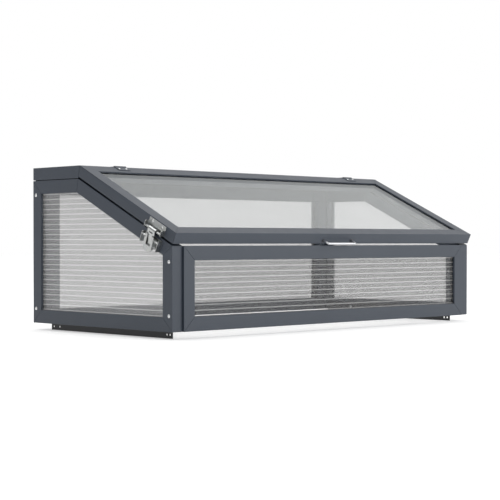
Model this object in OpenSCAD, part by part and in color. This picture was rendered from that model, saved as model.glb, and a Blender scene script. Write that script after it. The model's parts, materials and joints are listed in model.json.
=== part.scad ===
// Framed cold frame for a raised bed: five glazed or boarded panels, a hinged lid,
// two toggle latches and two strips that hold it to the bed.
// The origin is on the ground plane, at the middle of the outline.

/* [Overall size] */
// Width across the two side panels
frame_w = 1000; // [600:10:1400]
// Depth of the side panels, front to back
frame_d = 486; // [460:2:600]
// Height of the side panels at the front
front_h = 178; // [160:2:200]
// Height of the side panels at the back
back_h = 326; // [300:2:350]
// Depth of the flat roof, measured on the side panel
roof_d = 170; // [150:2:190]

/* [Frame bars] */
// Width of every bar's face
bar_w = 30; // [28:1:40]
// Thickness of the side, front, back and roof panels
panel_t = 28; // [26:1:32]
// Wall of the extruded bars
wall = 2; // [1.5:0.1:2.5]
// Depth of the glazing below a panel's outer face
recess = 6; // [4:0.5:7]
// Depth of the glazing groove
groove_d = 12; // [10:1:12]
// Gap left at each mitred corner
mitre_gap = 0.3; // [0.1:0.1:0.6]
// How far the front and back panels stand proud of the side panels
proud = 5; // [0:0.5:8]
// Clearance where one panel meets another
panel_clear = 0.3; // [0.1:0.1:1]
// Length of a corner key's arm
key_l = 34; // [24:1:45]

/* [Glazing] */
// Thickness of the twin-wall sheets
sheet_t = 8; // [6:0.5:10]
// Distance from rib to rib in the twin-wall sheets
rib_pitch = 11.4; // [8:0.2:14]
// Skin of the twin-wall sheets
skin = 0.8; // [0.5:0.1:1.2]
// Rib of the twin-wall sheets
rib = 0.8; // [0.5:0.1:1.2]
// Thickness of the clear sheet in the lid
clear_t = 4; // [3:0.5:6]
// Clearance on each side of a sheet in its groove
sheet_clear = 0.2; // [0.1:0.05:0.5]
// Clearance between a sheet's edge and the bottom of its groove
edge_clear = 2; // [1:0.5:4]

/* [Lid] */
// Gap between the lid and the panels below it
lid_gap = 4.4; // [3.5:0.1:6]
// Depth of the clear sheet below the lid's outer face
lid_recess = 3; // [2.5:0.5:6]
// Thickness of the seal under the roof
seal_t = 1.4; // [1:0.1:3]
// Gap between the lid and the roof along the ridge
ridge_gap = 0.8; // [0.6:0.1:3]
// Diameter of the rubber buffers under the lid
buffer_dia = 12; // [8:1:18]
// Air between a buffer and the closed lid
buffer_clear = 0.3; // [0.1:0.1:0.8]

/* [Hinges] */
// Distance of a hinge's middle from the end of the ridge
hinge_inset = 113; // [80:1:220]
// Length of a hinge
hinge_l = 32; // [28:1:50]
// Width of a hinge leaf, from the pin outwards
leaf_w = 20; // [16:1:24]
// Thickness of a hinge leaf
leaf_t = 1.2; // [1:0.1:2]
// Radius of the hinge knuckles
knuckle_r = 2; // [1.8:0.1:3]
// Radius of the hinge pin
pin_r = 1; // [0.8:0.1:1.2]
// Height of the hinge pin above the ridge
pin_rise = 0.4; // [0.4:0.1:1.6]
// Radial clearance of pins that turn
run_clear = 0.05; // [0.03:0.01:0.08]

/* [Handle] */
// Distance between the handle's two legs
handle_w = 96; // [64:1:160]
// Reach of the handle's bar from the lid's front face
handle_reach = 16; // [14:1:36]
// Distance of the handle below the middle of the lid's front face
handle_low = 5; // [0:0.5:6]
// Diameter of the handle's rod
handle_dia = 5; // [4.5:0.5:8]
// Radius of the handle's bends, at the middle of the rod
handle_bend = 6; // [5:0.5:12]

/* [Toggle latches] */
// Distance of a latch's middle from the lid's front, along the slope
latch_at = 59; // [50:1:160]
// Length of the latch base and of the keeper
latch_l = 57; // [54:1:80]
// Sheet thickness of the base, keeper and lever
latch_t = 1.5; // [1.2:0.1:2]
// Depth of the ears on the base and keeper
ear_d = 12; // [12:0.5:14]
// Width of the claw
claw_w = 24; // [18:1:26]
// Thickness of the claw
claw_t = 1.5; // [1.5:0.1:2]
// Radius of the latch's pivot stubs
pivot_r = 2; // [1.5:0.1:2.2]
// Radius of the pin that holds the claw
claw_pin_r = 1.5; // [1.2:0.1:1.7]
// Radius of the keeper's bar
keeper_bar_r = 2; // [1.5:0.1:2.2]

/* [Mounting strips] */
// Height of the strips that hang below the frame
strip_drop = 16; // [12:1:40]
// Height of a strip on the inside of the side panel
strip_up = 20; // [16:1:28]
// Thickness of a strip
strip_t = 2.5; // [2:0.5:4]
// Gap from a strip's end to the front or back panel
strip_end = 9; // [4:1:30]
// Diameter of the holes for fastening to the bed
bed_hole_dia = 5.5; // [4:0.5:7]
// Distance of the outer bed holes from a strip's ends
hole_end = 8; // [6:0.5:14]
// Distance of the second hole from the strip's front end
hole_front = 18; // [16:0.5:60]
// Distance of the second hole from the strip's back end
hole_back = 30; // [18:0.5:60]

/* [Frame screws] */
// Radius of the screws' shanks
screw_r = 2.1; // [1.8:0.1:2.5]
// Radius of the screws' heads
screw_head_r = 3.9; // [3.2:0.1:4.5]
// Height of the screws' heads
screw_head_h = 2.4; // [1.6:0.1:3]
// Height of the lowest screws, and drop of the highest
screw_end = 33; // [24:1:60]
// Distance of the screws behind the side panel's edge
screw_in = 10.5; // [8:0.5:12]

/* [Hidden] */
$fn = 48;

paint = [0.30, 0.33, 0.37];
zinc = [0.78, 0.79, 0.80];
black = [0.12, 0.12, 0.13];
// Overlap that joins shapes, how far cuts run past a face, and the play round fasteners
eps = 0.01;
past = 1;
hole_clear = 0.2;

// The slope, and how far the lid's and the roof's outer faces stand off the side panels
slope = atan2(back_h - front_h, frame_d - roof_d);
stand_off = panel_t + seal_t;
lid_t = stand_off - lid_gap;
ridge_y = frame_d - roof_d - stand_off * tan(slope / 2);
ridge_z = back_h + stand_off;
side_slope_l = (frame_d - roof_d) / cos(slope);
lid_l = side_slope_l + stand_off * tan(slope / 2);
half_ridge_gap = ridge_gap / 2 / cos(slope / 2);

// Chamber for the corner keys: close to the edge in most panels, but further in
// where the lid and roof are bevelled to meet at the ridge
chamber_end = bar_w - groove_d - wall;
panel_chamber = wall;
ridge_chamber = wall + stand_off * tan(slope / 2);
key_clear = 0.15;

// Where the whole object sits over its origin
handle_z = lid_t / 2 + handle_low;
handle_out = handle_reach * cos(slope) + (stand_off - handle_z) * sin(slope) + handle_dia / 2;
place_y = (handle_out - frame_d - proud) / 2;
place_z = strip_drop;

// Outlines of the panels, seen from outside, with each panel's edges in order
side_outline = [
    [0, 0], [frame_d, 0], [frame_d, back_h], [frame_d - roof_d, back_h], [0, front_h]
];
inner_w = frame_w - 2 * panel_t - 2 * panel_clear;
function rect(w, h) = [[-w / 2, 0], [w / 2, 0], [w / 2, h], [-w / 2, h]];
front_outline = rect(inner_w, front_h);
back_outline = rect(inner_w, back_h);
roof_l = frame_d - ridge_y - half_ridge_gap;
roof_outline = rect(frame_w, roof_l);
lid_outline = [
    [-frame_w / 2, half_ridge_gap], [frame_w / 2, half_ridge_gap],
    [frame_w / 2, lid_l], [-frame_w / 2, lid_l]
];

function unit(v) = v / norm(v);
function left_of(v) = [-v[1], v[0]];
function edge_dir(pts, i) = unit(pts[(i + 1) % len(pts)] - pts[i]);
// Corner i of an outline moved inwards by d
function corner(pts, i, d) =
    let (n = len(pts), before = left_of(edge_dir(pts, (i + n - 1) % n)),
         after = left_of(edge_dir(pts, i)))
    pts[i] + d * (before + after) / (1 + before * after);

module placed() {
    translate([0, place_y, place_z]) children();
}

// Panel frames: x along the panel, y up it, z from its outer face inwards
module on_left() {
    placed() translate([-frame_w / 2, 0, 0]) rotate([90, 0, 90]) children();
}
module on_right() {
    placed() mirror([1, 0, 0]) translate([-frame_w / 2, 0, 0]) rotate([90, 0, 90]) children();
}
module on_front() {
    placed() translate([0, -proud, 0]) rotate([90, 0, 180]) children();
}
module on_back() {
    placed() translate([0, frame_d + proud, 0]) rotate([90, 0, 0]) children();
}
module on_roof() {
    placed() translate([0, frame_d, ridge_z]) rotate([180, 0, 0]) children();
}
// The lid's frame starts at the ridge and runs down the slope
module on_lid() {
    placed() translate([0, ridge_y, ridge_z]) rotate([slope, 0, 0]) rotate([180, 0, 0]) children();
}

// A length of bar along edge i, between depths a0 and a1 from the outline and
// depths b0 and b1 from the outer face, run on past each mitre by e
module run(pts, i, a0, a1, b0, b1, e) {
    j = (i + 1) % len(pts);
    step = e * edge_dir(pts, i);
    translate([0, 0, b0]) linear_extrude(b1 - b0) polygon([
        corner(pts, i, a0) - step, corner(pts, j, a0) + step,
        corner(pts, j, a1) + step, corner(pts, i, a1) - step
    ]);
}

// One mitred extrusion with a key chamber, a glazing groove and a hollow inner lip
module bar(pts, i, t, glass_t, sink, chamber_start) {
    groove_end = sink + glass_t + 2 * sheet_clear;
    lip_start = groove_end + wall;
    difference() {
        run(pts, i, 0, bar_w, 0, t, -mitre_gap / 2);
        run(pts, i, chamber_start, chamber_end, wall, t - wall, past);
        run(pts, i, bar_w - groove_d, bar_w + past, sink, groove_end, past);
        run(pts, i, chamber_end + wall, bar_w - wall, lip_start, t - wall, past);
    }
}

// The sheet that sits in the grooves
module sheet_blank(pts, glass_t, sink) {
    n = len(pts);
    inset = bar_w - groove_d + edge_clear;
    translate([0, 0, sink + sheet_clear]) linear_extrude(glass_t)
        polygon([for (i = [0:n - 1]) corner(pts, i, inset)]);
}

module twin_wall(pts, w, h) {
    color([0.86, 0.88, 0.88, 0.6]) difference() {
        sheet_blank(pts, sheet_t, recess);
        for (y = [bar_w - groove_d + edge_clear + rib : rib_pitch : h])
            translate([-w, y, recess + sheet_clear + skin])
                cube([2 * w, rib_pitch - rib, sheet_t - 2 * skin]);
    }
}

// An angled key inside the chamber at corner i
module corner_key(pts, i, t, chamber_start) {
    n = len(pts);
    a0 = chamber_start + key_clear;
    width = chamber_end - chamber_start - 2 * key_clear;
    after = edge_dir(pts, i);
    before = edge_dir(pts, (i + n - 1) % n);
    outer = corner(pts, i, a0);
    translate([0, 0, wall + key_clear]) linear_extrude(t - 2 * wall - 2 * key_clear) polygon([
        outer, outer + key_l * after, outer + key_l * after + width * left_of(after),
        corner(pts, i, a0 + width),
        outer - key_l * before + width * left_of(before), outer - key_l * before
    ]);
}

module side_bar(i) {
    color(paint) difference() {
        bar(side_outline, i, panel_t, sheet_t, recess, panel_chamber);
        rotate([0, -90, -90]) {
            unplaced_screws(screw_r + hole_clear);
            strip_screw_shanks(strip_screw_r + hole_clear);
        }
    }
}
module slope_rail() {
    difference() {
        side_bar(3);
        translate([0, front_h, 0]) rotate([0, 0, slope]) translate([latch_at, 0, 0])
            rotate([0, -90, -90]) mirror([1, 0, 0])
                rivet_row(base_rivet_y, base_rivet_z, hole_clear);
    }
}

// Frame screws of one side, seen with x inwards, y back and z up
screw_reach = 14;
screw_l = panel_t + screw_reach;
screw_spots = [
    [screw_in, screw_end], [screw_in, front_h - screw_end],
    [frame_d - screw_in, screw_end], [frame_d - screw_in, back_h - screw_end]
];
module unplaced_screws(r) {
    for (s = screw_spots) translate([-past, s[0], s[1]]) rotate([0, 90, 0])
        cylinder(r = r, h = screw_l + past);
}
module both_sides() {
    placed() {
        translate([-frame_w / 2, 0, 0]) children();
        mirror([1, 0, 0]) translate([-frame_w / 2, 0, 0]) children();
    }
}

module drilled_for_frame_screws() {
    difference() {
        children();
        both_sides() unplaced_screws(screw_r + hole_clear);
    }
}

// Side panels
module left_bottom_rail() { on_left() side_bar(0); }
module left_back_stile() { on_left() side_bar(1); }
module left_top_rail() { on_left() side_bar(2); }
module left_slope_rail() { color(paint) on_left() slope_rail(); }
module left_front_stile() { on_left() side_bar(4); }
module left_glazing() { on_left() twin_wall(side_outline, frame_d, back_h); }
module right_bottom_rail() { on_right() side_bar(0); }
module right_back_stile() { on_right() side_bar(1); }
module right_top_rail() { on_right() side_bar(2); }
module right_slope_rail() { color(paint) on_right() slope_rail(); }
module right_front_stile() { on_right() side_bar(4); }
module right_glazing() { on_right() twin_wall(side_outline, frame_d, back_h); }

// Front panel: seen from outside, so its edges run the other way across
module front_bar(i) {
    color(paint) drilled_for_frame_screws() on_front()
        bar(front_outline, i, panel_t, sheet_t, recess, panel_chamber);
}
module front_bottom_rail() { front_bar(0); }
module front_left_stile() { front_bar(1); }
module front_top_rail() { front_bar(2); }
module front_right_stile() { front_bar(3); }
module front_glazing() { on_front() twin_wall(front_outline, frame_w, front_h); }

// Back panel
module back_bar(i) {
    color(paint) drilled_for_frame_screws() on_back()
        bar(back_outline, i, panel_t, sheet_t, recess, panel_chamber);
}
module back_bottom_rail() { back_bar(0); }
module back_right_stile() { back_bar(1); }
module back_top_rail() { back_bar(2); }
module back_left_stile() { back_bar(3); }
module back_glazing() { on_back() twin_wall(back_outline, frame_w, back_h); }

// The ridge, where the lid meets the roof: all that lies in front of (-1) or
// behind (1) a joint that halves the angle between them
module beyond_ridge(side) {
    placed() translate([0, ridge_y, ridge_z]) rotate([slope / 2, 0, 0])
        translate([0, side * (2 * bar_w - ridge_gap / 2), 0])
            cube([2 * frame_w, 4 * bar_w, 4 * bar_w], center = true);
}
module knuckle_relief() {
    at_hinges() rotate([0, 90, 0])
        cylinder(r = knuckle_r + knuckle_clear, h = hinge_l + 2 * relief_end, center = true);
}
module at_hinges() {
    placed() for (s = [-1, 1])
        translate([s * (frame_w / 2 - hinge_inset), pin_y, pin_z]) children();
}
knuckle_clear = 0.4;
relief_end = 1.5;
pin_y = ridge_y - pin_rise * sin(slope / 2);
pin_z = ridge_z + pin_rise * cos(slope / 2);

// Roof: a framed board with a bevelled front edge
module roof_bar(i) {
    color(paint) bar(roof_outline, i, panel_t, sheet_t, recess, ridge_chamber);
}
module roof_cut() {
    difference() {
        children();
        beyond_ridge(-1);
        knuckle_relief();
        hinge_screw_holes(false);
    }
}
module roof_back_rail() { on_roof() roof_bar(0); }
module roof_right_rail() { color(paint) roof_cut() on_roof() roof_bar(1); }
module roof_front_rail() { color(paint) roof_cut() on_roof() roof_bar(2); }
module roof_left_rail() { color(paint) roof_cut() on_roof() roof_bar(3); }
module roof_board() { color(paint) on_roof() sheet_blank(roof_outline, sheet_t, recess); }

// Soft strip between the roof and the tops of the side and back panels
module roof_seal() {
    seal_in = 4;
    seal_w = panel_t - 2 * seal_in;
    color(black) placed() translate([0, 0, back_h + panel_clear / 2])
        linear_extrude(seal_t - panel_clear) {
            for (s = [-1, 1])
                translate([s * (frame_w / 2 - panel_t / 2) - seal_w / 2, frame_d - roof_d + 2 * seal_in])
                    square([seal_w, roof_d - 3 * seal_in]);
            translate([-inner_w / 2, frame_d - seal_w])
                square([inner_w, seal_w - seal_in]);
        }
}

module corner_keys() {
    color(zinc) difference() {
        union() {
            for (i = [0:4]) {
                on_left() corner_key(side_outline, i, panel_t, panel_chamber);
                on_right() corner_key(side_outline, i, panel_t, panel_chamber);
            }
            for (i = [0:3]) {
                on_front() corner_key(front_outline, i, panel_t, panel_chamber);
                on_back() corner_key(back_outline, i, panel_t, panel_chamber);
                on_roof() corner_key(roof_outline, i, panel_t, ridge_chamber);
            }
        }
        both_sides() unplaced_screws(screw_r + hole_clear);
        on_latches([-1, 1]) rivet_row(base_rivet_y, base_rivet_z, hole_clear);
    }
}

// A screw whose head lies below z = 0 and whose shank runs up
module pan_screw(r, head_r, head_h, l) {
    rim_h = head_h * 0.45;
    crown_r = head_r * 0.72;
    cylinder(r = r, h = l);
    translate([0, 0, -head_h]) cylinder(r1 = crown_r, r2 = head_r, h = head_h - rim_h);
    translate([0, 0, -rim_h - eps]) cylinder(r = head_r, h = rim_h + eps);
}

module frame_screws() {
    color(zinc) both_sides() for (s = screw_spots)
        translate([-eps, s[0], s[1]]) rotate([0, 90, 0])
            pan_screw(screw_r, screw_head_r, screw_head_h, screw_l - 2);
}

// Strips inside the side panels; their lower part hangs below for the bed
strip_l = frame_d - 2 * (panel_t - proud) - 2 * strip_end;
strip_y = panel_t - proud + strip_end;
bed_holes = [hole_end, hole_front, strip_l - hole_back, strip_l - hole_end];
strip_fix = [strip_l * 0.2, strip_l / 2, strip_l * 0.8];
strip_fix_z = chamber_end / 2 + wall / 2;
strip_screw_r = 1.8;
strip_screw_l = 8;
strip_head_r = 3.4;
strip_head_h = 2;
module strip() {
    color(black) difference() {
        translate([panel_t, strip_y, -strip_drop]) cube([strip_t, strip_l, strip_drop + strip_up]);
        for (y = bed_holes)
            translate([panel_t - past, strip_y + y, -strip_drop / 2]) rotate([0, 90, 0])
                cylinder(d = bed_hole_dia, h = strip_t + 2 * past);
        strip_screw_shanks(strip_screw_r + hole_clear);
    }
}
module strip_screw_shanks(r) {
    for (y = strip_fix) translate([panel_t + strip_t + past, strip_y + y, strip_fix_z])
        rotate([0, -90, 0]) cylinder(r = r, h = strip_t + strip_screw_l + 2 * past);
}
module left_mounting_strip() { placed() translate([-frame_w / 2, 0, 0]) strip(); }
module right_mounting_strip() {
    placed() mirror([1, 0, 0]) translate([-frame_w / 2, 0, 0]) strip();
}
module strip_screws() {
    color(zinc) both_sides() for (y = strip_fix)
        translate([panel_t + strip_t + eps, strip_y + y, strip_fix_z]) rotate([0, -90, 0])
            pan_screw(strip_screw_r, strip_head_r, strip_head_h, strip_t + strip_screw_l);
}

// Rubber pads on the sloping rails, where the closed lid comes to rest
buffer_along = [22, side_slope_l - 30];
module lid_buffers() {
    color(black) both_sides() for (s = buffer_along)
        translate([panel_t / 2, 0, front_h]) rotate([slope, 0, 0])
            translate([0, s, 0]) cylinder(d = buffer_dia, h = lid_gap - buffer_clear);
}

// Lid
module lid_bar(i) {
    color(paint) difference() {
        on_lid() bar(lid_outline, i, lid_t, clear_t, lid_recess, ridge_chamber);
        beyond_ridge(1);
        knuckle_relief();
        hinge_screw_holes(true);
        handle_holes();
        on_latches([-1, 1]) rivet_row(keeper_rivet_y, keeper_rivet_z, hole_clear);
    }
}
module lid_ridge_rail() { lid_bar(0); }
module lid_right_rail() { lid_bar(1); }
module lid_front_rail() { lid_bar(2); }
module lid_left_rail() { lid_bar(3); }
module lid_glazing() {
    color([0.9, 0.95, 0.95, 0.35]) on_lid() sheet_blank(lid_outline, clear_t, lid_recess);
}
module lid_corner_keys() {
    color(zinc) difference() {
        on_lid() for (i = [0:3]) corner_key(lid_outline, i, lid_t, ridge_chamber);
        on_latches([-1, 1]) rivet_row(keeper_rivet_y, keeper_rivet_z, hole_clear);
    }
}

// Butt hinges on top of the ridge. A leaf is drawn lying towards +y of its own
// frame, whose origin is on the pin, with the panel's face at -face_drop
face_drop = pin_rise * cos(slope / 2);
leaf_start = knuckle_r + 0.6;
knuckle_gap = 0.3;
knuckle_mid_l = 11;
knuckle_end_l = (hinge_l - knuckle_mid_l) / 2 - knuckle_gap;
leaf_screw_in = 6;
leaf_screws = [leaf_screw_in - hinge_l / 2, hinge_l / 2 - leaf_screw_in];
leaf_screw_y = leaf_w - 7.6;
hinge_screw_r = 1.5;
hinge_head_r = 2.6;
hinge_head_h = 1;
hinge_screw_l = 6;
pin_head_h = 0.6;
module knuckle(x0, l) {
    translate([x0, 0, 0]) rotate([0, 90, 0]) cylinder(r = knuckle_r, h = l);
}
module tongue(x0, l) {
    translate([x0, 0, -face_drop]) cube([l, leaf_start + eps, leaf_t]);
}
module leaf(ends) {
    difference() {
        union() {
            translate([-hinge_l / 2, leaf_start, -face_drop])
                cube([hinge_l, leaf_w - leaf_start, leaf_t]);
            if (ends) for (x = [-hinge_l / 2, hinge_l / 2 - knuckle_end_l]) {
                knuckle(x, knuckle_end_l);
                tongue(x, knuckle_end_l);
            }
            else {
                knuckle(-knuckle_mid_l / 2, knuckle_mid_l);
                tongue(-knuckle_mid_l / 2, knuckle_mid_l);
            }
        }
        rotate([0, 90, 0]) cylinder(r = pin_r + run_clear, h = hinge_l + 2, center = true);
        for (x = leaf_screws) translate([x, leaf_screw_y, -face_drop - past])
            cylinder(r = hinge_screw_r + hole_clear, h = leaf_t + 2 * past);
    }
}
module lid_side_of_hinge() {
    rotate([slope, 0, 0]) rotate([0, 0, 180]) children();
}
module hinge_roof_leaves() { color(paint) at_hinges() leaf(true); }
module hinge_lid_leaves() { color(paint) at_hinges() lid_side_of_hinge() leaf(false); }
module hinge_pins() {
    color(zinc) at_hinges() rotate([0, 90, 0]) {
        cylinder(r = pin_r, h = hinge_l + pin_head_h, center = true);
        for (s = [-1, 1]) translate([0, 0, s * (hinge_l / 2 + pin_head_h)])
            cylinder(r = pin_r + 0.8, h = pin_head_h, center = true);
    }
}
module hinge_screw() {
    translate([0, 0, leaf_t - face_drop]) mirror([0, 0, 1])
        pan_screw(hinge_screw_r, hinge_head_r, hinge_head_h, leaf_t + hinge_screw_l);
}
module hinge_screw_set() {
    for (x = leaf_screws) translate([x, leaf_screw_y, eps]) hinge_screw();
}
module hinge_screw_holes(on_lid_side) {
    at_hinges() rotate([on_lid_side ? slope : 0, 0, 0]) rotate([0, 0, on_lid_side ? 180 : 0])
        for (x = leaf_screws) translate([x, leaf_screw_y, -hinge_screw_l - past])
            cylinder(r = hinge_screw_r + hole_clear, h = hinge_screw_l + 2 * past);
}
module hinge_roof_screws() { color(zinc) at_hinges() hinge_screw_set(); }
module hinge_lid_screws() { color(zinc) at_hinges() lid_side_of_hinge() hinge_screw_set(); }

// Bow handle on the lid's front face, screwed into two flanged inserts
handle_thread_r = 2;
insert_r = 3;
insert_l = 6.5;
insert_fit = 0.1;
flange_t = 0.6;
flange_w = 1;
module at_handle_legs() {
    on_lid() for (s = [-1, 1])
        translate([s * handle_w / 2, lid_l, handle_z]) rotate([-90, 0, 0]) children();
}
module handle_holes() {
    at_handle_legs() translate([0, 0, -insert_l - past])
        cylinder(r = insert_r + insert_fit, h = insert_l + 2 * past);
}
module handle_inserts() {
    color(black) at_handle_legs() difference() {
        union() {
            translate([0, 0, -insert_l]) cylinder(r = insert_r, h = insert_l);
            cylinder(r = insert_r + flange_w, h = flange_t);
        }
        translate([0, 0, -insert_l - past])
            cylinder(r = handle_thread_r + run_clear, h = insert_l + flange_t + 2 * past);
    }
}
module handle() {
    rod_r = handle_dia / 2;
    leg = handle_reach - handle_bend;
    color([0.85, 0.86, 0.87]) {
        at_handle_legs() {
            translate([0, 0, flange_t]) cylinder(r = rod_r, h = leg - flange_t + eps);
            translate([0, 0, -insert_l]) cylinder(r = handle_thread_r, h = insert_l + flange_t + eps);
        }
        on_lid() translate([0, lid_l + leg, handle_z]) {
            for (s = [-1, 1]) translate([s * (handle_w / 2 - handle_bend), 0, 0])
                rotate([0, 0, s > 0 ? 0 : 90]) rotate_extrude(angle = 90)
                    translate([handle_bend, 0]) circle(r = rod_r);
            translate([-handle_w / 2 + handle_bend - eps, handle_bend, 0]) rotate([0, 90, 0])
                cylinder(r = rod_r, h = handle_w - 2 * handle_bend + 2 * eps);
        }
    }
}

// Toggle latches: x outwards from the side, y up the slope, z square to the slope
// and measured from the side panel's sloping edge
pivot = [8.4, -11];
claw_pivot = [5.5, -26];
keeper_bar = [9, lid_gap + 4.6];
base_z = [-29, -5];
keeper_z = [lid_gap + 2, stand_off - 2];
keeper_ear_z = [lid_gap + 0.5, lid_gap + 14.6];
hook_r = 3.35;
hook_centre = keeper_bar + [0.25, 0];
hook_lip = 1.5;
pivot_boss_r = 5.4;
claw_eye_r = 3.1;
claw_side_gap = 0.7;
cheek_in = claw_w / 2 + claw_side_gap;
module on_latches(side) {
    for (s = side) placed() mirror([s < 0 ? 1 : 0, 0, 0])
        translate([frame_w / 2, 0, front_h]) rotate([slope, 0, 0])
            translate([0, latch_at, 0]) children();
}
// A shape drawn in x and z, centred on the latch and w wide up the slope
module across(w) {
    translate([0, w / 2, 0]) rotate([90, 0, 0]) linear_extrude(w) children();
}
module cross_pin(spot, r, y0, y1) {
    translate([spot[0], y1, spot[1]]) rotate([90, 0, 0]) cylinder(r = r, h = y1 - y0);
}
module ear_shape(d, z, r) {
    translate([0, z[0]]) square([d - r, z[1] - z[0]]);
    translate([0, z[0] + r]) square([d, z[1] - z[0] - 2 * r]);
    for (y = [z[0] + r, z[1] - r]) translate([d - r, y]) circle(r = r);
}
module eared_plate(z, ear_z) {
    translate([0, -latch_l / 2, z[0]]) cube([latch_t, latch_l, z[1] - z[0]]);
    for (s = [-1, 1]) translate([0, s * (latch_l - latch_t) / 2, 0])
        across(latch_t) ear_shape(ear_d, ear_z, 3);
}
rivet_r = 1.6;
rivet_l = 5;
rivet_fit = 0.1;
rivet_head_r = 3;
rivet_rim_h = 0.5;
rivet_crown_r = 1.8;
rivet_crown_h = 0.8;
base_rivet_y = latch_l / 2 - 8;
base_rivet_z = -17;
keeper_rivet_y = latch_l / 2 - 12;
keeper_rivet_z = keeper_z[1] - 5.4;
module rivet_row(y, z, extra) {
    for (s = [-1, 1]) translate([-rivet_l, s * y, z]) rotate([0, 90, 0])
        cylinder(r = rivet_r + extra, h = rivet_l + latch_t + eps);
}
module rivets(y, z) {
    rivet_row(y, z, 0);
    for (s = [-1, 1]) translate([latch_t + eps, s * y, z]) rotate([0, 90, 0]) {
        cylinder(r = rivet_head_r, h = rivet_rim_h);
        translate([0, 0, rivet_rim_h - eps])
            cylinder(r1 = rivet_head_r, r2 = rivet_crown_r, h = rivet_crown_h);
    }
}
module keeper() {
    color(zinc) difference() {
        union() {
            eared_plate(keeper_z, keeper_ear_z);
            cross_pin(keeper_bar, keeper_bar_r, -latch_l / 2, latch_l / 2);
        }
        rivet_row(keeper_rivet_y, keeper_rivet_z, rivet_fit);
    }
}
module latch_base() {
    color(zinc) difference() {
        eared_plate(base_z, base_z);
        rivet_row(base_rivet_y, base_rivet_z, rivet_fit);
        cross_pin(pivot, pivot_r + run_clear, -latch_l, latch_l);
    }
}
// The lever is a channel: two cheeks and a leaning outer plate with a round end.
// The plate is open in the middle above the claw's pin, so that the claw's stem can
// swing out through it
lever_top = [13.8, -3];
lever_lean = 4.6;
plate_l = 23;
cheek_l = 31;
window_w = 15;
function on_plate(d) = lever_top - d * [sin(lever_lean), cos(lever_lean)];
module latch_lever() {
    plate_r = cheek_in + latch_t;
    color(zinc) difference() {
        union() {
            for (s = [-1, 1]) translate([0, s * (cheek_in + latch_t / 2), 0]) across(latch_t) {
                polygon([
                    on_plate(0), on_plate(cheek_l), claw_pivot - [0, claw_eye_r],
                    claw_pivot - [claw_eye_r, 0], pivot - [pivot_boss_r, 0], pivot + [0, pivot_boss_r]
                ]);
                translate(pivot) circle(r = pivot_boss_r);
                translate(claw_pivot) circle(r = claw_eye_r);
            }
            on_lever_plate() difference() {
                union() {
                    translate([0, -plate_r]) square([plate_l, 2 * plate_r]);
                    translate([plate_l, 0]) circle(r = plate_r);
                }
                translate([-past, -window_w / 2]) square([plate_l + past, window_w]);
            }
        }
        cross_pin(pivot, pivot_r + run_clear, -latch_l, latch_l);
        cross_pin(claw_pivot, claw_pin_r + pin_fit, -latch_l, latch_l);
    }
}
// Draws a flat shape, x down the plate and y across it, as the lever's outer plate
module on_lever_plate() {
    translate([lever_top[0], 0, lever_top[1]]) rotate([0, lever_lean, 0]) rotate([0, 90, 0])
        translate([0, 0, -latch_t]) linear_extrude(latch_t) children();
}
pin_fit = 0.02;
stub_in = 0.4;
// Two stub rivets a latch join the lever's cheeks to the base's ears, so that the
// claw can swing between them
module pivot_stubs() {
    color(zinc) for (s = [0, 1]) mirror([0, s, 0]) {
        cross_pin(pivot, pivot_r, cheek_in - stub_in, latch_l / 2 + eps);
        cross_pin(pivot, pivot_r + 1.2, latch_l / 2, latch_l / 2 + 1);
    }
}
module claw_pin() {
    end = cheek_in + latch_t;
    color(zinc) {
        cross_pin(claw_pivot, claw_pin_r, -end - eps, end + eps);
        for (s = [0, 1]) mirror([0, s, 0]) cross_pin(claw_pivot, claw_pin_r + 0.9, end, end + 0.8);
    }
}
// A strap that runs up from the lever's pin and hooks over the keeper's bar
function arc(centre, r, a0, a1) =
    [for (k = [0:16]) centre + r * [cos(a0 + (a1 - a0) * k / 16), sin(a0 + (a1 - a0) * k / 16)]];
stem_w = 13;
shoulder_z = -1.2;
slot_z = 1.8;
module claw_strap() {
    hook_outer_r = hook_r + claw_t;
    polygon(concat(
        [claw_pivot + [2.6, 0.9]],
        arc(hook_centre, hook_outer_r, 0, 180),
        [hook_centre - [hook_outer_r, hook_lip], hook_centre - [hook_r, hook_lip]],
        arc(hook_centre, hook_r, 180, 0),
        [claw_pivot + [0.8, 2.4]]
    ));
}
module latch_claw() {
    color(zinc) difference() {
        union() {
            across(claw_w) translate(claw_pivot) circle(r = claw_eye_r);
            difference() {
                across(claw_w) claw_strap();
                for (s = [0, 1]) mirror([0, s, 0]) translate([0, stem_w / 2, 2 * claw_pivot[1]])
                    cube([2 * ear_d, claw_w, shoulder_z - 2 * claw_pivot[1]]);
            }
        }
        cross_pin(claw_pivot, claw_pin_r + run_clear, -claw_w, claw_w);
        translate([keeper_bar[0], -claw_w / 4, slot_z]) cube([ear_d, claw_w / 2, 2.4]);
    }
}
module left_keeper() { on_latches([-1]) keeper(); }
module right_keeper() { on_latches([1]) keeper(); }
module keeper_rivets() { color(zinc) on_latches([-1, 1]) rivets(keeper_rivet_y, keeper_rivet_z); }
module left_latch_base() { on_latches([-1]) latch_base(); }
module right_latch_base() { on_latches([1]) latch_base(); }
module latch_base_rivets() { color(zinc) on_latches([-1, 1]) rivets(base_rivet_y, base_rivet_z); }
module latch_pivots() { on_latches([-1, 1]) pivot_stubs(); }
module left_latch_lever() { on_latches([-1]) latch_lever(); }
module right_latch_lever() { on_latches([1]) latch_lever(); }
module left_claw_pin() { on_latches([-1]) claw_pin(); }
module right_claw_pin() { on_latches([1]) claw_pin(); }
module left_latch_claw() { on_latches([-1]) latch_claw(); }
module right_latch_claw() { on_latches([1]) latch_claw(); }

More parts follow.
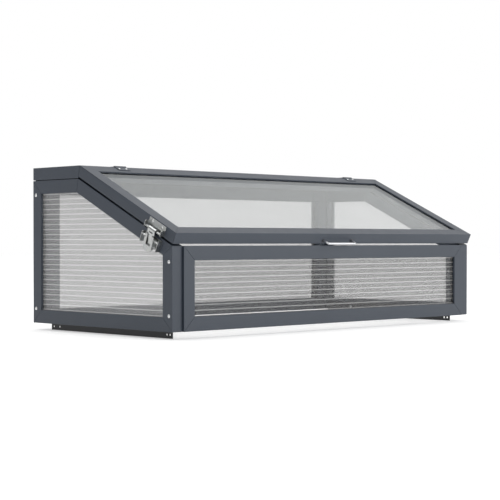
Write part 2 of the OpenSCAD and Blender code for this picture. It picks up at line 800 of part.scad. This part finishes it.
left_bottom_rail();
left_back_stile();
left_top_rail();
left_slope_rail();
left_front_stile();
left_glazing();
right_bottom_rail();
right_back_stile();
right_top_rail();
right_slope_rail();
right_front_stile();
right_glazing();
front_bottom_rail();
front_left_stile();
front_top_rail();
front_right_stile();
front_glazing();
back_bottom_rail();
back_right_stile();
back_top_rail();
back_left_stile();
back_glazing();
roof_back_rail();
roof_right_rail();
roof_front_rail();
roof_left_rail();
roof_board();
roof_seal();
corner_keys();
frame_screws();
left_mounting_strip();
right_mounting_strip();
strip_screws();
lid_buffers();
lid_ridge_rail();
lid_right_rail();
lid_front_rail();
lid_left_rail();
lid_glazing();
lid_corner_keys();
hinge_roof_leaves();
hinge_lid_leaves();
hinge_pins();
hinge_roof_screws();
hinge_lid_screws();
handle();
handle_inserts();
left_keeper();
right_keeper();
keeper_rivets();
left_latch_base();
right_latch_base();
latch_base_rivets();
latch_pivots();
left_latch_lever();
right_latch_lever();
left_claw_pin();
right_claw_pin();
left_latch_claw();
right_latch_claw();
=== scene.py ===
import json
import math

import bmesh
import bpy
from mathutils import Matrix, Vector


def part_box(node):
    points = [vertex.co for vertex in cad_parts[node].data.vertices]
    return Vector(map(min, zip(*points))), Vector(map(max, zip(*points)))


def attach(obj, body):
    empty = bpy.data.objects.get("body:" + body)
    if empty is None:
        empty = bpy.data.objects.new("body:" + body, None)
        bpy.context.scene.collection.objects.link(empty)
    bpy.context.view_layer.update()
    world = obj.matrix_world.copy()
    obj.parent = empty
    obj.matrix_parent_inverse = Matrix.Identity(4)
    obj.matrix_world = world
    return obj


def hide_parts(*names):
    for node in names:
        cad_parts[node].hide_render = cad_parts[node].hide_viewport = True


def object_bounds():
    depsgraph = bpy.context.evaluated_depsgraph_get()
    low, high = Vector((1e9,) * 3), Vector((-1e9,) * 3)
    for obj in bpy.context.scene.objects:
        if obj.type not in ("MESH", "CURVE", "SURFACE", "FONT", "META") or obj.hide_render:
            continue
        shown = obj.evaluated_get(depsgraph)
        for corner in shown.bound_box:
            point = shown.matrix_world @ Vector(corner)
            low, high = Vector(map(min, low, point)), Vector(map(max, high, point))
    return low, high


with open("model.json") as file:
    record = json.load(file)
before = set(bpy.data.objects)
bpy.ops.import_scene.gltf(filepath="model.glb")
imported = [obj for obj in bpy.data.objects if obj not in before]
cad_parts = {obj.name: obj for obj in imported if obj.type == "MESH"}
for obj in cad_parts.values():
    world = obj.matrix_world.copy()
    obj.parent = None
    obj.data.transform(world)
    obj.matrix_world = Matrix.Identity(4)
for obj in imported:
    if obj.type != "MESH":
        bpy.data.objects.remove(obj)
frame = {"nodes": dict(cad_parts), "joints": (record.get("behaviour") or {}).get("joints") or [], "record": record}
cad_low, cad_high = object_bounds()

# --- Studio ---------------------------------------------------------------------------------
# A white room, dimmer on the left, with one broad soft light in front and to the right and one
# above. The eye stands low and well back at the front left corner, level with the lid's front.

eye = Vector((-2.3513, -2.3588, 0.2037))
turned_right = math.radians(44.273)
tipped_down = math.radians(0.8434)
camera = bpy.data.objects.new("camera", bpy.data.cameras.new("camera"))
camera.location = eye
camera.rotation_euler = (math.pi / 2 - tipped_down, 0, -turned_right)
camera.data.lens = 98.73
camera.data.sensor_width = 36
camera.data.shift_x = 0.0024
camera.data.shift_y = 0.0227
bpy.context.scene.collection.objects.link(camera)
bpy.context.scene.camera = camera
bpy.context.scene.view_settings.view_transform = "Standard"


def soft_light(name, place, size, watts):
    """A square light that faces the middle of the cold frame."""
    light = bpy.data.objects.new(name, bpy.data.lights.new(name, "AREA"))
    light.data.size = size
    light.data.energy = watts
    light.location = place
    towards = (cad_low + cad_high) / 2 - light.location
    light.rotation_euler = towards.to_track_quat("-Z", "Y").to_euler()
    bpy.context.scene.collection.objects.link(light)


soft_light("front_right_light", Vector((2.2, -3.4, 1.6)), 2.4, 45)
soft_light("overhead_light", Vector((-0.4, 0.6, 3.6)), 3.0, 55)


class Wire:
    """A socket of a node tree, on which maths is written as Python expressions."""

    def __init__(self, tree, socket=None):
        self.tree, self.socket = tree, socket

    def node(self, kind, settings=None, inputs=None, out=0):
        """Adds a node: its settings first, then the values or links of its sockets."""
        made = self.tree.nodes.new(kind)
        for name, value in (settings or {}).items():
            setattr(made, name, value)
        for name, value in (inputs or {}).items():
            for one in value if isinstance(value, list) else [value]:
                if isinstance(one, Wire):
                    self.tree.links.new(one.socket, made.inputs[name])
                else:
                    made.inputs[name].default_value = one
        return Wire(self.tree, made.outputs[out])

    def maths(self, operation, first, second=0.0):
        return self.node("ShaderNodeMath", {"operation": operation}, {0: first, 1: second})

    def __add__(self, other):
        return self.maths("ADD", self, other)

    def __sub__(self, other):
        return self.maths("SUBTRACT", self, other)

    def __rsub__(self, other):
        return self.maths("SUBTRACT", other, self)

    def __mul__(self, other):
        return self.maths("MULTIPLY", self, other)

    def __truediv__(self, other):
        return self.maths("DIVIDE", self, other)

    def __pow__(self, power):
        return self.maths("POWER", self, power)

    def __abs__(self):
        return self.maths("ABSOLUTE", self)

    __radd__ = __add__
    __rmul__ = __mul__

    def ramp(self, low, high):
        """0 below low, 1 above high, and a smooth rise between them."""
        return self.node("ShaderNodeMapRange", {"interpolation_type": "SMOOTHSTEP"},
                         {"Value": self, "From Min": low, "From Max": high})

    def choose(self, colour_at_0, colour_at_1):
        """A mix of two colours, with this wire as the share of the second."""
        return self.node("ShaderNodeMix", {"data_type": "RGBA"},
                         {0: self, 6: colour_at_0, 7: colour_at_1}, out=2)


class Finish:
    """A material on one Principled shader, with the wires that its patterns start from."""

    def __init__(self, name, constants):
        self.material = bpy.data.materials.new(name)
        self.material.use_nodes = True
        self.tree = self.material.node_tree
        self.shader = self.tree.nodes["Principled BSDF"]
        self.start = Wire(self.tree)
        self.here = self.start.node("ShaderNodeTexCoord", out="Object")
        for socket, value in constants.items():
            self.shader.inputs[socket].default_value = value

    def noise(self, per_metre, detail=2.0, stretch=(1, 1, 1)):
        """Soft noise from 0 to 1, with about so many grains to the metre."""
        scaled = self.start.node("ShaderNodeMapping", inputs={"Vector": self.here, "Scale": stretch})
        return self.start.node("ShaderNodeTexNoise", inputs={
            "Vector": scaled, "Scale": per_metre, "Detail": detail})

    def along(self, axis):
        """The position along the X, Y or Z axis, in metres."""
        return self.start.node("ShaderNodeSeparateXYZ", inputs={"Vector": self.here}, out=axis)

    def facing_up(self):
        """1 on level upper surfaces, and 0 on upright and lower ones."""
        normal = self.start.node("ShaderNodeNewGeometry", out="Normal")
        return self.start.node("ShaderNodeSeparateXYZ", inputs={"Vector": normal}, out="Z").ramp(0.2, 1)

    def feed(self, socket, wire):
        self.tree.links.new(wire.socket, self.shader.inputs[socket])

    def bumps(self, height, metres):
        """Raises the surface by up to so many metres, where height is 1."""
        self.feed("Normal", self.start.node("ShaderNodeBump", inputs={
            "Height": height, "Distance": metres, "Strength": 1.0}))


room = bpy.data.worlds.new("white_room")
room.use_nodes = True
air = Wire(room.node_tree)
sky = room.node_tree.nodes["Background"]
across = air.node("ShaderNodeTexCoord", out="Generated")
from_right = air.node("ShaderNodeSeparateXYZ", inputs={"Vector": across}, out="X").ramp(-0.9, 0.5)
looked_at = air.node("ShaderNodeLightPath", out="Is Camera Ray")
glow = looked_at + (1 - looked_at) * (from_right * 0.55 + 0.45)
sky.inputs["Color"].default_value = (1, 1, 1, 1)
room.node_tree.links.new(glow.socket, sky.inputs["Strength"])
bpy.context.scene.world = room

studio_white = Finish("studio_white", {"Roughness": 0.9, "Emission Color": (1, 1, 1, 1),
                                       "Emission Strength": 0.45})
floor_tone = studio_white.noise(3)
studio_white.feed("Base Color", floor_tone.choose((0.66, 0.66, 0.66, 1), (0.68, 0.68, 0.68, 1)))
floor_mesh = bpy.data.meshes.new("studio_floor")
floor_half = 14
floor_mesh.from_pydata(
    [(x * floor_half, y * floor_half, 0) for x, y in ((-1, -1), (1, -1), (1, 1), (-1, 1))],
    [], [(0, 1, 2, 3)])
floor_mesh.materials.append(studio_white.material)
floor = bpy.data.objects.new("studio_floor", floor_mesh)
bpy.context.scene.collection.objects.link(floor)

# --- Panel frames ---------------------------------------------------------------------------
# Hollow aluminium bars, mitred at the corners and powder coated a bluish anthracite.
# Every long edge has the small radius of the extrusion die, and each mitre shows as a fine line.

die_radius = 0.0006
longest_facet = 0.004
least_room = 1.3


def finished_copy(node, radius, body, finish, shortest=longest_facet):
    """A CAD node's shape as one welded mesh whose edges longer than shortest are rounded.

    An edge stays sharp where the next one is shorter than least_room times the radius.
    """
    shape = bmesh.new()
    shape.from_mesh(frame["nodes"][node].data)
    bmesh.ops.remove_doubles(shape, verts=shape.verts, dist=2e-6)
    bmesh.ops.dissolve_limit(shape, angle_limit=math.radians(0.5), verts=shape.verts,
                             edges=shape.edges)
    corners = [edge for edge in shape.edges
               if edge.calc_length() > shortest and len(edge.link_faces) == 2
               and edge.calc_face_angle() > math.radians(25)
               and all(beside.edge.calc_length() > radius * least_room for loop in edge.link_loops
                       for beside in (loop.link_loop_next, loop.link_loop_prev))]
    bmesh.ops.bevel(shape, geom=corners, offset=radius, segments=2, profile=0.5,
                    affect="EDGES", clamp_overlap=False)
    for face in shape.faces:
        face.smooth = True
    for edge in shape.edges:
        sharp = len(edge.link_faces) != 2 or edge.calc_face_angle() > math.radians(38)
        edge.smooth = not sharp
    mesh = bpy.data.meshes.new(node + "_finished")
    shape.to_mesh(mesh)
    shape.free()
    mesh.materials.append(finish.material)
    piece = bpy.data.objects.new(node + "_finished", mesh)
    bpy.context.scene.collection.objects.link(piece)
    flats = piece.modifiers.new("flat_faces_stay_flat", "WEIGHTED_NORMAL")
    flats.keep_sharp = True
    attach(piece, body)
    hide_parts(node)
    return piece


def times(shade, share):
    """A colour made darker or lighter by a share, or by one share for each of its parts."""
    shares = share if isinstance(share, tuple) else (share,) * 3
    return tuple(part * by for part, by in zip(shade, shares)) + (1,)


def powder_coat(name, shade):
    """Satin polyester powder: a fine orange peel, a slow change of tone and a trace of dust."""
    coat = Finish(name, {"Specular IOR Level": 0.5})
    tone = coat.noise(5, detail=3)
    colour = tone.choose(times(shade, 0.92), times(shade, 1.08))
    dust = coat.facing_up() * coat.noise(60, detail=5).ramp(0.45, 0.8) * 0.05
    coat.feed("Base Color", dust.choose(colour, (0.45, 0.43, 0.40, 1)))
    coat.feed("Roughness", coat.noise(35, detail=4) * 0.12 + 0.38 + dust)
    coat.bumps(coat.noise(700, detail=1), 0.00004)
    return coat


anthracite = powder_coat("anthracite_powder_coat", (0.034, 0.044, 0.061))
bodies = frame["record"]["behaviour"]["bodies"]
for body in ("root", "lid"):
    for node in bodies[body]:
        if node.endswith("_rail") or node.endswith("_stile"):
            finished_copy(node, die_radius, body, anthracite)

# --- Corner keys ----------------------------------------------------------------------------
# Angled die-cast keys that are pushed into both bars at each mitre. They are hidden inside the
# closed bars, and show only where a mitre line is a little open.

die_cast = Finish("die_cast_zinc", {"Metallic": 0.9})
cast_grain = die_cast.noise(90, detail=4)
die_cast.feed("Base Color", cast_grain.choose((0.42, 0.42, 0.43, 1), (0.52, 0.52, 0.53, 1)))
die_cast.feed("Roughness", die_cast.noise(400, detail=3) * 0.2 + 0.45)
die_cast.bumps(die_cast.noise(1200), 0.00003)


def cover(node, finish):
    """Gives a CAD node that keeps its own shape its finish."""
    mesh = frame["nodes"][node].data
    mesh.materials.clear()
    mesh.materials.append(finish.material)


cover("corner_keys", die_cast)
cover("lid_corner_keys", die_cast)

# --- Twin-wall sheets -----------------------------------------------------------------------
# Extruded polycarbonate with two skins and level ribs between them, pushed into the grooves.
# The skins are hazy and let about half the light through, and each rib shows as a lighter line
# with a painted glow. The sheets' differing greys, lines and glows are painted light and shade.

rib_pitch = 0.0114
rib_thickness = 0.0008
line_core, line_edge = 0.0002, 0.0017


def even_grey(level):
    """A grey colour from 0, black, to 1, white."""
    return (level,) * 3 + (1,)


def twin_wall(name, sheet_foot, shade, line, painted_rib_glow, haze_share):
    """Hazy sheet of a grey shade with ribs of a lighter line; the ribs have a painted glow."""
    sheet = Finish(name, {"Roughness": 0.38, "Specular IOR Level": 0.5, "Emission Strength": 1.0})
    first_rib = sheet_foot + rib_thickness / 2
    ribs_up = (sheet.along("Z") - first_rib) / rib_pitch
    to_rib = abs(ribs_up - sheet.start.maths("ROUND", ribs_up)) * rib_pitch
    on_rib = 1 - to_rib.ramp(line_core, line_edge)
    haze = sheet.noise(9, detail=3)
    clear = haze.choose(even_grey(shade * 0.97), even_grey(shade * 1.03))
    # Rib lines: a lighter grey, partly the ribs' own look and partly painted light, plus a painted glow as
    # emission.
    sheet.feed("Base Color", on_rib.choose(clear, even_grey(line)))
    sheet.feed("Emission Color", on_rib.choose(even_grey(0), even_grey(painted_rib_glow)))
    sheet.feed("Alpha", on_rib * 0.07 + haze_share)
    sheet.bumps(haze, 0.00005)
    return sheet


# Each sheet's grey, rib line and rib glow hold painted light and shade: the same polycarbonate is painted lighter
# on the left and right, darker on the back and front, and the left ribs glow most.
for side, shade, line, painted_rib_glow, haze_share in (
        ("left", 0.55, 0.72, 0.24, 0.165), ("right", 0.56, 0.64, 0.06, 0.165),
        ("front", 0.16, 0.66, 0.06, 0.174), ("back", 0.36, 0.54, 0.00, 0.165)):
    node = side + "_glazing"
    sheet_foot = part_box(node)[0].z
    cover(node, twin_wall(node + "_twin_wall", sheet_foot, shade, line, painted_rib_glow, haze_share))

# --- Roof board and seal --------------------------------------------------------------------
# An opaque board in the same colour fills the flat roof's frame, and a soft black strip lies
# between the roof and the tops of the side and back panels.

finished_copy("roof_board", die_radius, "root", anthracite)


def black_rubber(name):
    rubber = Finish(name, {"Specular IOR Level": 0.35})
    bloom = rubber.noise(45, detail=5)
    rubber.feed("Base Color", bloom.choose((0.018, 0.018, 0.019, 1), (0.035, 0.035, 0.036, 1)))
    rubber.feed("Roughness", bloom * 0.2 + 0.62)
    rubber.bumps(rubber.noise(1600, detail=2), 0.00005)
    return rubber


rubber = black_rubber("black_rubber")
finished_copy("roof_seal", 0.0003, "root", rubber)

# --- Frame screws ---------------------------------------------------------------------------
# Round-headed zinc-plated screws with a cross recess go through each side panel's stiles into
# the front and back panels, two at each corner.


def bright_zinc(name, shade):
    """Zinc plate: bright, with faint warm and cool patches and fine handling marks."""
    plate = Finish(name, {"Metallic": 1.0})
    patches = plate.noise(55, detail=3)
    marks = plate.noise(900, detail=3, stretch=(1, 1, 0.12)).ramp(0.55, 0.75)
    warm, cool = times(shade, (1.03, 1.0, 0.93)), times(shade, (0.95, 0.98, 1.03))
    plate.feed("Base Color", patches.choose(warm, cool))
    plate.feed("Roughness", patches * 0.14 + marks * 0.12 + 0.2)
    plate.bumps(plate.noise(350, detail=4), 0.00004)
    return plate


zinc = bright_zinc("bright_zinc_plate", (0.74, 0.75, 0.76))


def solids_of(node):
    """The corner points of each separate solid of a CAD node."""
    shape = bmesh.new()
    shape.from_mesh(frame["nodes"][node].data)
    bmesh.ops.remove_doubles(shape, verts=shape.verts, dist=2e-6)
    waiting, solids = set(shape.verts), []
    while waiting:
        solid, edge_of_search = set(), [waiting.pop()]
        while edge_of_search:
            vert = edge_of_search.pop()
            solid.add(vert)
            beside = {edge.other_vert(vert) for edge in vert.link_edges} & waiting
            waiting -= beside
            edge_of_search += beside
        solids.append([vert.co.copy() for vert in solid])
    shape.free()
    return solids


def fastener_tree(name, finish, recess):
    """Nodes that put one domed fastener, with a cross or a round recess, at each point."""
    tree = bpy.data.node_groups.new(name, "GeometryNodeTree")
    sizes = ("Head radius", "Head height", "Shank radius", "Shank length",
             "Recess width", "Recess depth")
    tree.interface.new_socket("Geometry", in_out="INPUT", socket_type="NodeSocketGeometry")
    for size in sizes:
        tree.interface.new_socket(size, in_out="INPUT", socket_type="NodeSocketFloat")
    tree.interface.new_socket("Geometry", in_out="OUTPUT", socket_type="NodeSocketGeometry")
    given = tree.nodes.new("NodeGroupInput")
    points, head_r, head_h, shank_r, shank_l, width, depth = (Wire(tree, s) for s in given.outputs[:7])
    start = Wire(tree)

    def up(x, y, z):
        return start.node("ShaderNodeCombineXYZ", inputs={0: x, 1: y, 2: z})

    def shifted(shape, z):
        return start.node("GeometryNodeTransform", inputs={
            "Geometry": shape, "Translation": up(0.0, 0.0, z)})

    def drum(radius, height, z):
        return shifted(start.node("GeometryNodeMeshCylinder", inputs={
            "Vertices": 32, "Radius": radius, "Depth": height}), z)

    ball_r = (head_r * head_r + head_h * head_h) / (head_h * 2)
    ball = shifted(start.node("GeometryNodeMeshUVSphere", inputs={
        "Segments": 32, "Rings": 24, "Radius": ball_r}), head_h - ball_r)
    dome = start.node("GeometryNodeMeshBoolean", {"operation": "INTERSECT", "solver": "EXACT"},
                      {"Mesh 2": [ball, drum(head_r, head_h, head_h / 2)]})
    floor_z = head_h - depth
    if recess == "cross":
        long = head_r * 1.15
        arms = [start.node("GeometryNodeMeshCube", inputs={"Size": size})
                for size in (up(long, width, head_h), up(width, long, head_h))]
        cutters = [shifted(arm, floor_z + head_h / 2) for arm in arms]
    else:
        cutters = [drum(width / 2, head_h, floor_z + head_h / 2)]
    head = start.node("GeometryNodeMeshBoolean", {"operation": "DIFFERENCE", "solver": "EXACT"},
                      {"Mesh 1": dome, "Mesh 2": cutters})
    whole = start.node("GeometryNodeJoinGeometry", inputs={
        "Geometry": [head, drum(shank_r, shank_l, shank_l * -0.5)]})
    outwards = start.node("GeometryNodeInputNamedAttribute", {"data_type": "FLOAT_VECTOR"},
                          {"Name": "outwards"})
    turned = start.node("FunctionNodeAlignRotationToVector", {"axis": "Z"}, {"Vector": outwards})
    placed = start.node("GeometryNodeInstanceOnPoints", inputs={
        "Points": points, "Instance": whole, "Rotation": turned})
    real = start.node("GeometryNodeRealizeInstances", inputs={"Geometry": placed})
    dressed = start.node("GeometryNodeSetMaterial", inputs={
        "Geometry": real, "Material": finish.material})
    tree.links.new(dressed.socket, tree.nodes.new("NodeGroupOutput").inputs[0])
    return tree


def set_fasteners(node, tree, body, outwards, sizes):
    """Replaces a CAD node's plain fasteners by detailed ones, each seated where the plain one is."""
    seats, directions = [], []
    for solid in solids_of(node):
        middle = sum(solid, Vector()) / len(solid)
        way = outwards(middle).normalized()
        top = max((point - middle).dot(way) for point in solid)
        seats.append(middle + way * (top - sizes["Head height"]))
        directions.append(way)
    points = bpy.data.meshes.new(node + "_seats")
    points.from_pydata(seats, [], [])
    turn = points.attributes.new("outwards", "FLOAT_VECTOR", "POINT")
    turn.data.foreach_set("vector", [c for way in directions for c in way])
    maker = bpy.data.objects.new(node + "_seats", points)
    bpy.context.scene.collection.objects.link(maker)
    nodes = maker.modifiers.new("fasteners", "NODES")
    nodes.node_group = tree
    for socket in tree.interface.items_tree:
        if socket.in_out == "INPUT" and socket.name in sizes:
            nodes[socket.identifier] = sizes[socket.name]
    ready = maker.evaluated_get(bpy.context.evaluated_depsgraph_get())
    mesh = bpy.data.meshes.new_from_object(ready)
    bpy.data.objects.remove(maker)
    piece = bpy.data.objects.new(node + "_detailed", mesh)
    bpy.context.scene.collection.objects.link(piece)
    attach(piece, body)
    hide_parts(node)


def sideways(point):
    """Away from the middle of the cold frame, to the left or right."""
    return Vector((math.copysign(1, point.x), 0, 0))


cross_screw = fastener_tree("cross_recess_screw", zinc, "cross")
set_fasteners("frame_screws", cross_screw, "root", sideways, {
    "Head radius": 0.0039, "Head height": 0.0024, "Shank radius": 0.0021, "Shank length": 0.040,
    "Recess width": 0.0010, "Recess depth": 0.0013})

# --- Mounting strips ------------------------------------------------------------------------
# Flat black steel strips screwed inside the side panels. Their lower part hangs down inside the
# bed and is drilled for the screws that hold the cold frame to it.

black_steel = Finish("black_coated_steel", {"Specular IOR Level": 0.5})
mottle = black_steel.noise(30, detail=5)
black_steel.feed("Base Color", mottle.choose((0.016, 0.017, 0.019, 1), (0.030, 0.031, 0.034, 1)))
black_steel.feed("Roughness", mottle * 0.2 + 0.4)
black_steel.bumps(black_steel.noise(800, detail=2), 0.00004)
for side in ("left", "right"):
    finished_copy(side + "_mounting_strip", 0.0003, "root", black_steel)
set_fasteners("strip_screws", cross_screw, "root", lambda p: -sideways(p), {
    "Head radius": 0.0034, "Head height": 0.0020, "Shank radius": 0.0018, "Shank length": 0.0100,
    "Recess width": 0.0009, "Recess depth": 0.0011})

# --- Lid buffers ----------------------------------------------------------------------------
# Four rubber studs on the sloping rails of the side panels, on which the shut lid comes to rest.
# Each is a moulded disc with a rounded rim.

finished_copy("lid_buffers", 0.0006, "root", rubber, shortest=0.0)

# --- Lid sheet ------------------------------------------------------------------------------
# A clear acrylic sheet in the grooves of the lid's bars. It shows what is under it, mirrors the
# room at a low angle, and has a few wipe marks.

acrylic = Finish("clear_acrylic", {"Metallic": 1.0})
wiped = acrylic.noise(14, detail=5, stretch=(0.3, 1.6, 1.6))
seen_flat = acrylic.start.node("ShaderNodeLayerWeight", inputs={"Blend": 0.5}, out="Facing")
acrylic.feed("Base Color", wiped.choose((0.84, 0.87, 0.86, 1), (0.88, 0.90, 0.90, 1)))
acrylic.feed("Roughness", wiped * 0.05 + 0.02)
acrylic.feed("Alpha", seen_flat ** 5 * 0.90 + wiped * 0.02 + 0.045)
cover("lid_glazing", acrylic)

# --- Hinges ---------------------------------------------------------------------------------
# Two steel butt hinges lie on the ridge, coated like the bars. The roof's leaf has the two outer
# knuckles, the lid's leaf has the middle one, and a headed pin runs through them.

leaf_edge = 0.00025
finished_copy("hinge_roof_leaves", leaf_edge, "root", anthracite)
finished_copy("hinge_lid_leaves", leaf_edge, "lid", anthracite)
finished_copy("hinge_pins", leaf_edge, "root", anthracite)
lid_hinge = next(joint for joint in frame["joints"] if joint["name"] == "lid_hinge")
ridge = Vector(lid_hinge["pos_m"])
lid_front_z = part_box("lid_front_rail")[1].z
lid_front_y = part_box("lid_front_rail")[0].y
down_slope = Vector((0, lid_front_y - ridge.y, lid_front_z - ridge.z)).normalized()
lid_outwards = Vector((1, 0, 0)).cross(-down_slope)
hinge_screw_sizes = {
    "Head radius": 0.0026, "Head height": 0.0010, "Shank radius": 0.0015, "Shank length": 0.0070,
    "Recess width": 0.0008, "Recess depth": 0.0006}
set_fasteners("hinge_roof_screws", cross_screw, "root",
              lambda p: Vector((0, 0, 1)), hinge_screw_sizes)
set_fasteners("hinge_lid_screws", cross_screw, "lid",
              lambda p: lid_outwards, hinge_screw_sizes)

# --- Handle ---------------------------------------------------------------------------------
# A bow of satin stainless rod on the lid's front edge. Its threaded ends screw into two flanged
# inserts of blackened steel in the hollow bar.

stainless = Finish("satin_stainless", {"Metallic": 1.0})
brushed = stainless.noise(1500, detail=2, stretch=(0.05, 1, 1))
smudges = stainless.noise(70, detail=4)
stainless.feed("Base Color", smudges.choose((0.60, 0.61, 0.63, 1), (0.68, 0.68, 0.70, 1)))
stainless.feed("Roughness", brushed * 0.14 + smudges * 0.08 + 0.2)
stainless.bumps(brushed, 0.00002)
finished_copy("handle", 0.0003, "lid", stainless)

finished_copy("handle_inserts", 0.0002, "lid", black_steel)

# --- Toggle latches -------------------------------------------------------------------------
# One on each side, pressed from zinc-plated steel. The base is riveted to the side panel and the
# keeper to the lid; the lever turns in the base's ears and pulls the claw down over the keeper's bar.

press_edge = 0.0003
pressed_zinc = bright_zinc("pressed_zinc_plate", (0.44, 0.45, 0.45))
for side in ("left", "right"):
    for part, body in (("_keeper", "lid"), ("_latch_base", "root"),
                       ("_latch_lever", side + "_lever"), ("_latch_claw", side + "_claw")):
        finished_copy(side + part, press_edge, body, pressed_zinc, shortest=0.002)
    finished_copy(side + "_claw_pin", press_edge, side + "_lever", zinc)
finished_copy("latch_pivots", press_edge, "root", zinc)
blind_rivet = fastener_tree("blind_rivet", zinc, "round")
for node, body in (("keeper_rivets", "lid"), ("latch_base_rivets", "root")):
    set_fasteners(node, blind_rivet, body, sideways, {
        "Head radius": 0.0030, "Head height": 0.0013, "Shank radius": 0.0016, "Shank length": 0.0064,
        "Recess width": 0.0018, "Recess depth": 0.0007})
